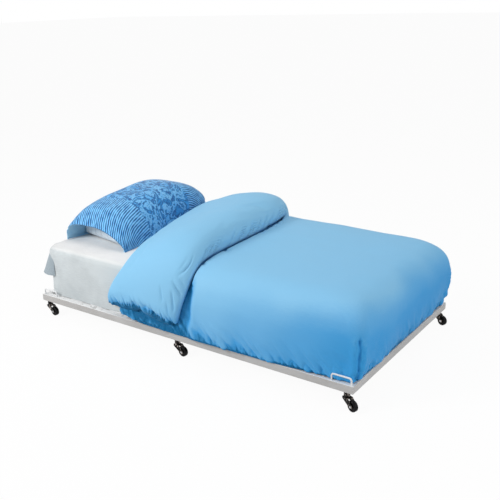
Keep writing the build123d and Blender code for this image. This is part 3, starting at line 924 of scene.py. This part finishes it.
# Materials


class Value:
    """What a node gives; arithmetic on it adds Math nodes."""

    def __init__(self, nodes, socket):
        self.nodes = nodes
        self.socket = socket

    def math(self, operation, first, second):
        return self.nodes.node("ShaderNodeMath", {"operation": operation}, {0: first, 1: second})

    def __add__(self, other):
        return self.math("ADD", self, other)

    def __sub__(self, other):
        return self.math("SUBTRACT", self, other)

    def __rsub__(self, other):
        return self.math("SUBTRACT", other, self)

    def __mul__(self, other):
        return self.math("MULTIPLY", self, other)

    def __gt__(self, other):
        return self.math("GREATER_THAN", self, other)

    def __abs__(self):
        return self.math("ABSOLUTE", self, 0.0)

    __radd__ = __add__
    __rmul__ = __mul__


class Nodes:
    """A node tree and how nodes are added to it."""

    def __init__(self, tree):
        self.tree = tree

    def node(self, kind, settings=None, inputs=None, out=0):
        """Adds a node with its settings, feeds its sockets and gives one of its outputs."""
        made = self.tree.nodes.new(kind)
        for name, setting in (settings or {}).items():
            if name == "stops":
                self.set_stops(made.color_ramp, setting)
            else:
                setattr(made, name, setting)
        for socket, value in (inputs or {}).items():
            self.feed(made.inputs[socket], value)
        return Value(self, made.outputs[out])

    def feed(self, socket, value):
        """Links a value to a socket, or sets the socket to a plain number or colour."""
        if isinstance(value, Value):
            self.tree.links.new(value.socket, socket)
        else:
            socket.default_value = value

    def set_stops(self, ramp, stops):
        """Gives a colour ramp its stops, as places and colours."""
        while len(ramp.elements) < len(stops):
            ramp.elements.new(1.0)
        for element, (place, colour) in zip(ramp.elements, stops):
            element.position = place
            element.color = (*colour, 1.0)


class Finish(Nodes):
    """A procedural material: a principled shader and the nodes that feed it."""

    def __init__(self, name, **constants):
        self.material = bpy.data.materials.new(name)
        self.material.use_nodes = True
        super().__init__(self.material.node_tree)
        self.shader = self.tree.nodes["Principled BSDF"]
        for socket, value in constants.items():
            self.shader.inputs[socket.replace("_", " ")].default_value = value

    def place(self, scale=(1.0, 1.0, 1.0)):
        """Coordinates on the piece, in metres times the scale."""
        spot = self.node("ShaderNodeTexCoord", out="Object")
        return self.node("ShaderNodeMapping", inputs={"Vector": spot, "Scale": scale})

    def axis(self, vector, name):
        return self.node("ShaderNodeSeparateXYZ", inputs={"Vector": vector}, out=name)

    def attribute(self, name):
        """A value kept at the points of the mesh."""
        return self.node("ShaderNodeAttribute", {"attribute_name": name}, out="Fac")

    def share(self, value, low, high):
        """0 up to low and 1 from high."""
        inputs = {"Value": value, "From Min": low, "From Max": high}
        return self.node("ShaderNodeMapRange", inputs=inputs)

    def clouds(self, vector, scale, detail=3.0, rough=0.55, swept=0.0):
        """Soft noise, about 0 to 1."""
        inputs = {
            "Vector": vector,
            "Scale": scale,
            "Detail": detail,
            "Roughness": rough,
            "Distortion": swept,
        }
        return self.node("ShaderNodeTexNoise", inputs=inputs)

    def waves(self, vector, period, direction):
        """Even bands across a direction, from 0 to 1 and back in each period."""
        settings = {"wave_type": "BANDS", "bands_direction": direction, "wave_profile": "SIN"}
        scale = pi / (10.0 * period)
        return self.node("ShaderNodeTexWave", settings, {"Vector": vector, "Scale": scale})

    def ramp(self, value, stops):
        return self.node("ShaderNodeValToRGB", {"stops": stops}, {"Fac": value})

    def mix(self, first, second, share):
        """The first colour at a share of 0, the second at 1."""
        first, second = (c if isinstance(c, Value) else (*c, 1.0) for c in (first, second))
        return self.node("ShaderNodeMix", {"data_type": "RGBA"}, {0: share, 6: first, 7: second}, out=2)

    def bump(self, height, depth, strength):
        """Relief that is too fine for the mesh."""
        inputs = {"Height": height, "Distance": depth, "Strength": strength}
        self.feed(self.shader.inputs["Normal"], self.node("ShaderNodeBump", inputs=inputs))

    def colour(self, value):
        self.feed(self.shader.inputs["Base Color"], value)

    def roughness(self, value):
        self.feed(self.shader.inputs["Roughness"], value)


def weave(finish, vector, period):
    """Over and under of a plain weave, about 0 to 1."""
    warp = finish.waves(vector, period, "X")
    weft = finish.waves(vector, period, "Y")
    rise = finish.waves(vector, period, "Z")
    return (warp + weft + rise) * (1 / 3)


def wrinkles(finish, stretch):
    """Fine slack in cotton: soft clouds and a few sharp ridges."""
    soft = finish.clouds(finish.place(stretch), scale=24.0)
    ridged = abs(finish.clouds(finish.place(stretch), scale=9.0, detail=4.0) - 0.5)
    return 0.5 * soft - 1.2 * ridged


DUVET_DEEP = (0.030, 0.305, 0.67)
DUVET_PALE = (0.25, 0.55, 0.80)
DUVET_PAINTED_SHADE = (0.001, 0.128, 0.30)  # painted shade at the bottom of a crease
CREASE_SHARE = 0.15  # of each ramp of shades, below the hem's own, for the painted shade of creases
FOLD_SHADE = 24.0  # painted shade: change of colour per metre of relief, darker in creases
# Share of the pale dye at shares of the cover's height: painted light and shade, paler up top and darker
# towards the hem, and darker still at the foot.
BODY_SHADES = [(0.0, 0.1), (0.13, 0.5), (0.3, 0.62), (0.6, 0.8), (0.86, 1.0)]
FOOT_SHADES = [(0.0, 0.0), (0.35, 0.0), (0.55, 0.05), (0.75, 0.36), (0.95, 0.9)]
BAND_SHADES = [(0.0, 0.15), (0.3, 0.75), (0.6, 0.95), (1.0, 1.0)]
BODY_SHADED = 0.35  # height of the cover over which the shades run
BAND_SHADED = 0.2
FOOT_FROM = 0.2  # X between which the foot's darker painted shades take over
FOOT_FULL = 1.0


def dye_and_painted_shade(shades):
    """Stops of a ramp from the painted shade of a crease over the deep to the pale dye."""
    stops = [(0.0, DUVET_PAINTED_SHADE)]
    for place, share in shades:
        colour = tuple(deep + share * (pale - deep) for deep, pale in zip(DUVET_DEEP, DUVET_PALE))
        stops.append((CREASE_SHARE + (1 - CREASE_SHARE) * place, colour))
    return stops


def duvet_cotton(name, hem, tall, shades, foot_shades):
    """Dyed cotton sateen, painted deeper blue in its folds and towards its hem, and most of all at the
    foot, as painted shade; paler up top as painted light.
    """
    finish = Finish(
        name,
        Specular_IOR_Level=0.16,
        Sheen_Weight=0.06,
        Sheen_Roughness=0.45,
        Sheen_Tint=(0.8, 0.92, 1.0, 1.0),
    )
    here = finish.place()
    broad = finish.clouds(here, scale=3.0, detail=2.0)
    slub = finish.clouds(finish.place((30.0, 260.0, 260.0)), scale=1.0, detail=2.0)
    # Height and fold give painted light and shade: paler up top, darker towards the hem and in creases.
    height = (finish.axis(here, "Z") - hem) * (1 / tall)
    tone = height + FOLD_SHADE * finish.attribute("fold") + 0.16 * (broad - 0.5) + 0.12 * (slub - 0.5)
    share = CREASE_SHARE + (1 - CREASE_SHARE) * tone
    # The foot is painted darker still, as painted shade.
    to_foot = finish.share(finish.axis(here, "X"), FOOT_FROM, FOOT_FULL)
    sides = finish.ramp(share, dye_and_painted_shade(shades))
    foot = finish.ramp(share, dye_and_painted_shade(foot_shades))
    finish.colour(finish.mix(sides, foot, to_foot))
    finish.roughness(0.5 + 0.16 * slub)
    threads = weave(finish, here, period=0.0012)
    finish.bump(0.08 * threads + wrinkles(finish, (1.0, 1.0, 0.6)), depth=0.004, strength=0.5)
    return finish.material


# Painted light and shade: the sheet is paler where it lies on top and greyer on its hanging sides, and
# greyer still in its folds and at the flap's ends.
SHEET_SHADED = (0.32, 0.38, 0.42)
SHEET_SIDES_SHADED = [(0.0, SHEET_SHADED), (0.4, (0.50, 0.54, 0.555)), (0.6, (0.60, 0.645, 0.66))]
SHEET_TOP_LIT = [(0.4, (0.77, 0.77, 0.77)), (0.6, (0.87, 0.865, 0.86))]
LIES_FROM = BED_TOP - 0.018
LIES_FLAT = BED_TOP - 0.001


def sheet_cotton():
    """White cotton, painted paler on top as painted light, and greyer on its hanging sides and in its folds
    as painted shade.
    """
    finish = Finish("sheet_cotton", Specular_IOR_Level=0.25, Sheen_Weight=0.15, Sheen_Roughness=0.5)
    here = finish.place()
    broad = finish.clouds(here, scale=4.0)
    slub = finish.clouds(finish.place((40.0, 300.0, 300.0)), scale=1.0, detail=2.0)
    # fold carries the painted shade of folds and of the flap's ends; on_top the painted light of the top.
    tone = 0.7 * broad + 0.3 * slub + FOLD_SHADE * finish.attribute("fold")
    on_top = finish.share(finish.axis(here, "Z"), LIES_FROM, LIES_FLAT)
    finish.colour(finish.mix(finish.ramp(tone, SHEET_SIDES_SHADED), finish.ramp(tone, SHEET_TOP_LIT), on_top))
    finish.roughness(0.72 + 0.14 * slub)
    threads = weave(finish, here, period=0.0010)
    finish.bump(0.08 * threads + wrinkles(finish, (1.0, 0.5, 0.7)), depth=0.004, strength=0.5)
    return finish.material


TICKING_PERIOD = 0.012
TICKING_GAP = 0.93  # share of each period's height below a stripe


def ticking(name, pale, dark):
    """Stout white cotton with a fine woven stripe."""
    finish = Finish(name, Specular_IOR_Level=0.2, Sheen_Weight=0.1)
    here = finish.place()
    stripe = finish.waves(here, TICKING_PERIOD, "Y") > TICKING_GAP
    cloud = finish.clouds(here, scale=30.0)
    cloth = finish.ramp(cloud, [(0.3, dark), (0.7, pale)])
    finish.colour(finish.mix(cloth, tuple(0.75 * c for c in dark), 0.5 * stripe))
    finish.roughness(0.75 + 0.15 * cloud)
    finish.bump(weave(finish, here, period=0.0012) + 0.6 * stripe, depth=0.0006, strength=0.6)
    return finish.material


PRINT_NAVY = (0.004, 0.06, 0.22)
PRINT_BLUE = (0.015, 0.225, 0.56)
PRINT_SKY = (0.06, 0.37, 0.78)
PRINT_PALE = (0.23, 0.56, 0.88)
STRIPES = [(0.34, PRINT_NAVY), (0.42, PRINT_BLUE), (0.51, PRINT_SKY), (0.62, PRINT_PALE)]
STROKES = [
    (0.30, PRINT_SKY),
    (0.38, PRINT_BLUE),
    (0.43, PRINT_NAVY),
    (0.46, PRINT_SKY),
    (0.50, PRINT_PALE),
    (0.54, PRINT_BLUE),
    (0.58, PRINT_NAVY),
    (0.62, PRINT_SKY),
    (0.70, PRINT_PALE),
]
STRIPE_PERIOD = 0.0145
NEAR_STRIPES = -0.155  # Y up to which the near end is striped
FAR_STRIPES = 0.28  # Y from which the far end is


def pillowcase_print():
    """Woven stripes at both ends and a field of swept brush strokes between them."""
    finish = Finish("pillowcase_cotton", Specular_IOR_Level=0.3, Sheen_Weight=0.2, Sheen_Roughness=0.5)
    here = finish.place()
    across = finish.axis(here, "Y")
    waver = finish.clouds(finish.place((14.0, 3.0, 14.0)), scale=1.0, detail=2.0)
    around = finish.attribute("around") + 0.012 * waver
    line = finish.node("ShaderNodeCombineXYZ", inputs={"X": around, "Y": 0.7 * across})
    bands = finish.clouds(line, scale=46.0, detail=1.0, rough=0.4)
    fine = finish.waves(line, STRIPE_PERIOD, "X")
    striped = finish.ramp(0.42 * fine + 0.58 * bands, STRIPES)
    strokes = finish.clouds(here, scale=8.0, detail=2.0, rough=0.5, swept=2.0)
    tint = finish.clouds(here, scale=90.0, rough=0.65)
    patches = finish.clouds(here, scale=7.0, detail=1.0)
    field = finish.ramp(0.75 * strokes + 0.25 * tint + 0.3 * (patches - 0.5), STROKES)
    ragged = 0.05 * finish.clouds(here, scale=12.0, detail=2.0)
    near_end = (NEAR_STRIPES - across + ragged) > 0.0
    far_end = (across - FAR_STRIPES + ragged) > 0.0
    rim = finish.attribute("rim") > 0.4
    finish.colour(finish.mix(finish.mix(field, striped, near_end + far_end), PRINT_NAVY, 0.8 * rim))
    finish.roughness(0.6 + 0.15 * tint)
    threads = weave(finish, here, period=0.0011)
    finish.bump(0.1 * threads + finish.clouds(here, scale=30.0), depth=0.0022, strength=0.5)
    return finish.material


def case_reverse():
    """The paler inside of the printed cotton."""
    finish = Finish("case_reverse", Specular_IOR_Level=0.2, Sheen_Weight=0.1)
    here = finish.place()
    cloud = finish.clouds(here, scale=24.0)
    finish.colour(finish.ramp(cloud, [(0.3, (0.36, 0.68, 0.95)), (0.7, (0.45, 0.75, 0.97))]))
    finish.roughness(0.7 + 0.15 * cloud)
    finish.bump(weave(finish, here, period=0.0011), depth=0.0005, strength=0.5)
    return finish.material


def powder_coat(name, pale, dark, painted_top_light, gloss):
    """Sprayed paint with a fine orange peel and scuffs, painted paler on its upward faces as painted light.
    """
    finish = Finish(name, Specular_IOR_Level=0.45)
    here = finish.place()
    peel = finish.clouds(here, scale=420.0, detail=2.0)
    drift = finish.clouds(here, scale=6.0, detail=4.0)
    scuffs = finish.clouds(finish.place((9.0, 9.0, 160.0)), scale=1.0, detail=4.0) > 0.66
    # Faces that point up are painted paler, a painted highlight.
    facing = finish.axis(finish.node("ShaderNodeNewGeometry", out="Normal"), "Z")
    coat = finish.mix(finish.ramp(drift, [(0.35, dark), (0.65, pale)]), painted_top_light, facing > 0.7)
    finish.colour(finish.mix(coat, tuple(0.8 * c for c in dark), 0.5 * scuffs))
    finish.roughness(gloss + 0.18 * drift + 0.1 * scuffs)
    finish.bump(peel, depth=0.0003, strength=0.4)
    return finish.material


def zinc_plate():
    """Zinc with a fine spangle."""
    finish = Finish("zinc_plate", Metallic=0.9)
    here = finish.place()
    spangle = finish.clouds(here, scale=160.0)
    finish.colour(finish.ramp(spangle, [(0.3, (0.42, 0.43, 0.45)), (0.7, (0.64, 0.65, 0.67))]))
    finish.roughness(0.28 + 0.25 * spangle)
    finish.bump(spangle, depth=0.0002, strength=0.4)
    return finish.material


def fork_plate():
    """Black nickel on pressed steel, brassy where it has rubbed, those worn patches painted bright as
    painted highlights.
    """
    finish = Finish("fork_plate", Metallic=0.75, Specular_IOR_Level=0.2)
    here = finish.place()
    rubbed_and_highlights = finish.clouds(here, scale=90.0, detail=4.0)
    brushed = finish.clouds(finish.place((60.0, 60.0, 900.0)), scale=1.0, detail=2.0)
    # The rubbed patches are real wear, painted bright to stand in for highlights.
    finish.colour(finish.ramp(rubbed_and_highlights, [(0.54, (0.008, 0.007, 0.007)), (0.66, (0.46, 0.40, 0.36))]))
    finish.roughness(0.10 + 0.14 * brushed)
    finish.bump(brushed, depth=0.0002, strength=0.3)
    return finish.material


def wheel_black():
    """Moulded black wheels, a little dusty."""
    finish = Finish("wheel_black", Specular_IOR_Level=0.09)
    here = finish.place()
    dust = finish.clouds(here, scale=70.0, detail=4.0)
    mould = finish.clouds(here, scale=700.0, detail=2.0)
    finish.colour(finish.ramp(dust, [(0.5, (0.004, 0.004, 0.005)), (0.9, (0.03, 0.029, 0.028))]))
    finish.roughness(0.16 + 0.22 * dust)
    finish.bump(mould, depth=0.0002, strength=0.3)
    return finish.material


# Dressing the model


def dress(piece, body, slot, *finishes):
    """Gives a piece its finishes and the body that carries it; its material slot is not used."""
    for finish in finishes:
        piece.data.materials.append(finish)
    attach(piece, body)


# The third grey is painted light on faces that point up.
RAIL_GREYS = {"pale": (0.49, 0.48, 0.47), "dark": (0.42, 0.41, 0.40), "painted_top_light": (0.82, 0.82, 0.82)}
ROD_GREYS = {"pale": (0.76, 0.77, 0.78), "dark": (0.68, 0.69, 0.70), "painted_top_light": (0.84, 0.85, 0.86)}
paints = {
    "rail_paint": powder_coat("rail_paint", **RAIL_GREYS, gloss=0.34),
    "rod_paint": powder_coat("rod_paint", **ROD_GREYS, gloss=0.22),
    "zinc_plate": zinc_plate(),
    "fork_plate": fork_plate(),
    "wheel_black": wheel_black(),
}
for part in frame["record"]["subparts"]:
    paint = paints.get(part["material_slot"])
    if part["node"] == "slat_rivets":
        paint = paints["rail_paint"]
    if paint:
        node = frame["nodes"][part["node"]]
        node.data.materials.clear()
        node.data.materials.append(paint)

mattress = make_mattress()
mattress_cover = ticking("mattress_ticking", pale=(0.74, 0.73, 0.71), dark=(0.66, 0.65, 0.63))
dress(mattress, "frame", "mattress_ticking", mattress_cover)
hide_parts("mattress")

sheet = make_sheet()
dress(sheet, "frame", "sheet_cotton", sheet_cotton())
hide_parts("bottom_sheet")

# The body and the band are one cotton; their painted light and shade follow each layer's own height.
body_cover = duvet_cotton("duvet_cotton", DUVET_HEM, BODY_SHADED, BODY_SHADES, FOOT_SHADES)
band_cover = duvet_cotton("duvet_cotton_band", DECK + BAND_HEM, BAND_SHADED, BAND_SHADES, BAND_SHADES)
for layer, cover in ((make_duvet_body(), body_cover), (make_duvet_band(), band_cover)):
    dress(layer, "frame", "duvet_cotton", cover)
    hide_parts("duvet")

pillow = make_pillow()
pillow_cover = ticking("pillow_ticking", pale=(0.70, 0.79, 0.86), dark=(0.64, 0.73, 0.81))
dress(pillow, "frame", "pillow_ticking", pillow_cover)
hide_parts("pillow")

case = make_pillowcase()
dress(case, "frame", "pillowcase_cotton", pillowcase_print(), case_reverse())
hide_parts("pillowcase")


# Studio


WHITE = (1.0, 1.0, 1.0, 1.0)
FLOOR_HALF = 60.0
FLOOR_SHADE = (0.85, 0.85, 0.85, 1.0)
FLOOR_GLOW = 0.95  # share of plain white in what the camera sees of it; the rest shows the shadow
WORLD_LIGHT = 0.38
CAMERA_AT = Vector((2.17580, -2.91885, 1.64501))
CAMERA_TURN = radians(35.5338)
CAMERA_RISE = radians(19.0429)
CAMERA_ROLL = radians(-1.6004)
CAMERA_LENS = 52.568
CAMERA_SENSOR = 36.0


def seen(nodes):
    """1 for what the camera sees, straight, mirrored or through glass, and 0 for what lights the bed."""
    shown = nodes.node("ShaderNodeLightPath", out="Is Camera Ray")
    for kind in ("Is Glossy Ray", "Is Transmission Ray"):
        shown = shown.math("MAXIMUM", shown, nodes.node("ShaderNodeLightPath", out=kind))
    return shown


def studio_white():
    """A matt white that shows as plain white apart from a soft shadow."""
    finish = Finish("studio_white", Base_Color=FLOOR_SHADE, Roughness=0.9, Specular_IOR_Level=0.1)
    lit = Value(finish, finish.shader.outputs[0])
    glow = finish.node("ShaderNodeEmission", inputs={"Color": WHITE, "Strength": 1.0})
    mixed = finish.node("ShaderNodeMixShader", inputs={0: FLOOR_GLOW * seen(finish), 1: lit, 2: glow})
    finish.feed(finish.tree.nodes["Material Output"].inputs["Surface"], mixed)
    return finish.material


def make_floor():
    """A wide plain floor under the wheels."""
    ends = (-FLOOR_HALF, FLOOR_HALF)
    floor = piece_from_rows("studio_floor", [[(x, y, 0.0) for x in ends] for y in ends])
    floor.data.materials.append(studio_white())


def soft_box(name, place, target, size, power):
    """A rectangular lamp that points at a target."""
    lamp = bpy.data.lights.new(name, "AREA")
    lamp.shape = "RECTANGLE"
    lamp.size, lamp.size_y = size
    lamp.energy = power
    box = bpy.data.objects.new(name, lamp)
    box.location = place
    box.rotation_euler = (Vector(target) - Vector(place)).to_track_quat("-Z", "Y").to_euler()
    bpy.context.scene.collection.objects.link(box)


def make_world():
    """White all round: at full strength to the camera, weaker as light."""
    world = bpy.data.worlds.new("studio")
    world.use_nodes = True
    bpy.context.scene.world = world
    nodes = Nodes(world.node_tree)
    background = nodes.tree.nodes["Background"]
    background.inputs["Color"].default_value = WHITE
    nodes.feed(background.inputs["Strength"], WORLD_LIGHT + (1 - WORLD_LIGHT) * seen(nodes))


def make_camera():
    """The camera at the photograph's viewing angle."""
    lens = bpy.data.cameras.new("camera")
    lens.sensor_width = CAMERA_SENSOR
    lens.lens = CAMERA_LENS
    camera = bpy.data.objects.new("camera", lens)
    level = cos(CAMERA_RISE)
    right = Vector((cos(CAMERA_TURN), sin(CAMERA_TURN), 0))
    back = Vector((sin(CAMERA_TURN) * level, -cos(CAMERA_TURN) * level, sin(CAMERA_RISE)))
    up = back.cross(right)
    across = right * cos(CAMERA_ROLL) + up * sin(CAMERA_ROLL)
    upward = up * cos(CAMERA_ROLL) - right * sin(CAMERA_ROLL)
    turn = Matrix((across, upward, back)).transposed().to_4x4()
    camera.matrix_world = Matrix.Translation(CAMERA_AT) @ turn
    bpy.context.scene.collection.objects.link(camera)
    bpy.context.scene.camera = camera


make_floor()
make_world()
soft_box("key", place=(-2.5, -3.8, 3.2), target=(0.0, 0.0, 0.3), size=(1.6, 1.6), power=155.0)
soft_box("foot_fill", place=(4.2, -0.6, 1.8), target=(0.6, 0.0, 0.3), size=(2.5, 2.0), power=47.0)
soft_box("top", place=(0.0, 0.3, 4.2), target=(0.0, 0.0, 0.3), size=(4.0, 3.0), power=42.0)
make_camera()
bpy.context.scene.view_settings.view_transform = "Standard"
